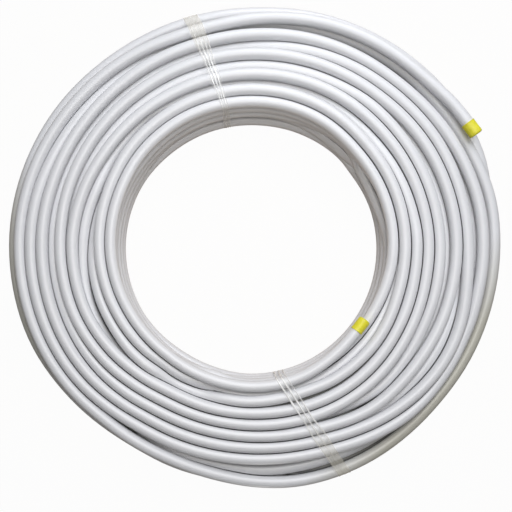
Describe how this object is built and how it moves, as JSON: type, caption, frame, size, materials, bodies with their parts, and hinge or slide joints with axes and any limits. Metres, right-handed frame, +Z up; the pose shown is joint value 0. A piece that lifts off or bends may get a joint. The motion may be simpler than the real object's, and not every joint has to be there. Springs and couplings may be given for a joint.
{
  "type": "coil of multilayer pipe",
  "caption": "Flat coil of white multilayer plumbing pipe round an open eye, tied with clear tape straps, with a yellow cap on each pipe end.",
  "frame": {"origin": "on the coil's axis, in the plane of the floor it lies on, at the centre of its footprint", "axes": "+Z up along the coil's axis, +X towards the side where the outer end's cap lies, +Y towards the strap by the outer end"},
  "size_m": [0.7145, 0.7146, 0.0828],
  "materials": {
    "white_pipe": "satin",
    "yellow_cap": "satin",
    "clear_tape": "clear glossy film"
  },
  "bodies": {
    "root": {"pipe_coil": "white_pipe", "outer_end_cap": "yellow_cap", "inner_end_cap": "yellow_cap", "rear_tape_strap": "clear_tape", "front_tape_strap": "clear_tape"}
  },
  "joints": []
}
